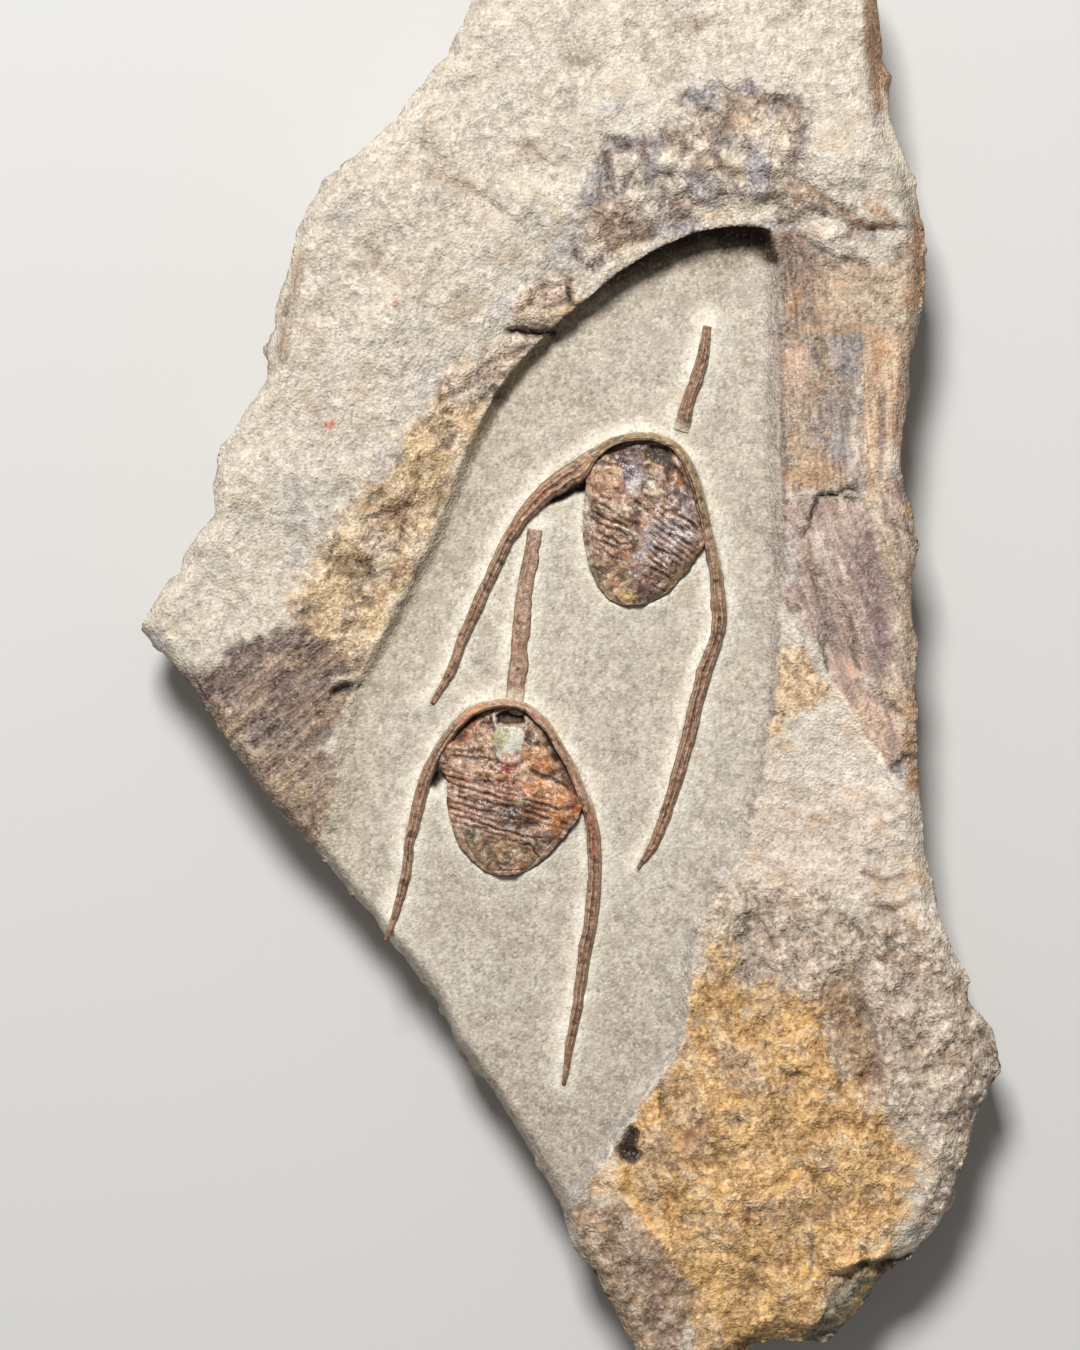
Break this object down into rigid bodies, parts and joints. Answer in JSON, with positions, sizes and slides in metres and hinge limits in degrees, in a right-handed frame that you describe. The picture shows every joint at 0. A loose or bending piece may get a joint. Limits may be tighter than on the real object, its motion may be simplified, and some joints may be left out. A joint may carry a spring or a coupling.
{
  "type": "ampyx trilobite fossil",
  "caption": "Rough limestone slab with a ground-out hollow holding two long-spined trilobites, each with a nose spine, cheek hoop, segments and tail.",
  "frame": {"origin": "middle of the slab's bounding box, on its flat back", "axes": "+Z out of the slab's face with the fossils, +Y along the slab's long way towards the trilobites' heads, +X to the right seen from above"},
  "size_m": [0.1078, 0.1841, 0.0235],
  "materials": {
    "rock_slab": "rough, sandy, with stained patches",
    "upper_nose_spine": "fine grained, slightly pitted",
    "upper_cheek_hoop": "satin, pitted",
    "upper_head_shield": "satin, broken",
    "upper_thorax": "satin, ridged",
    "upper_tail_shield": "satin",
    "lower_nose_spine": "matt, worn nearly flush",
    "lower_cheek_hoop": "satin, grooved",
    "lower_head_shield": "glossy in places, broken",
    "lower_thorax": "slightly glossy, ridged",
    "lower_tail_shield": "satin"
  },
  "bodies": {
    "root": {"rock_slab": "rock_slab", "upper_nose_spine": "upper_nose_spine", "upper_cheek_hoop": "upper_cheek_hoop", "upper_head_shield": "upper_head_shield", "upper_thorax": "upper_thorax", "upper_tail_shield": "upper_tail_shield", "lower_nose_spine": "lower_nose_spine", "lower_cheek_hoop": "lower_cheek_hoop", "lower_head_shield": "lower_head_shield", "lower_thorax": "lower_thorax", "lower_tail_shield": "lower_tail_shield"}
  },
  "joints": []
}
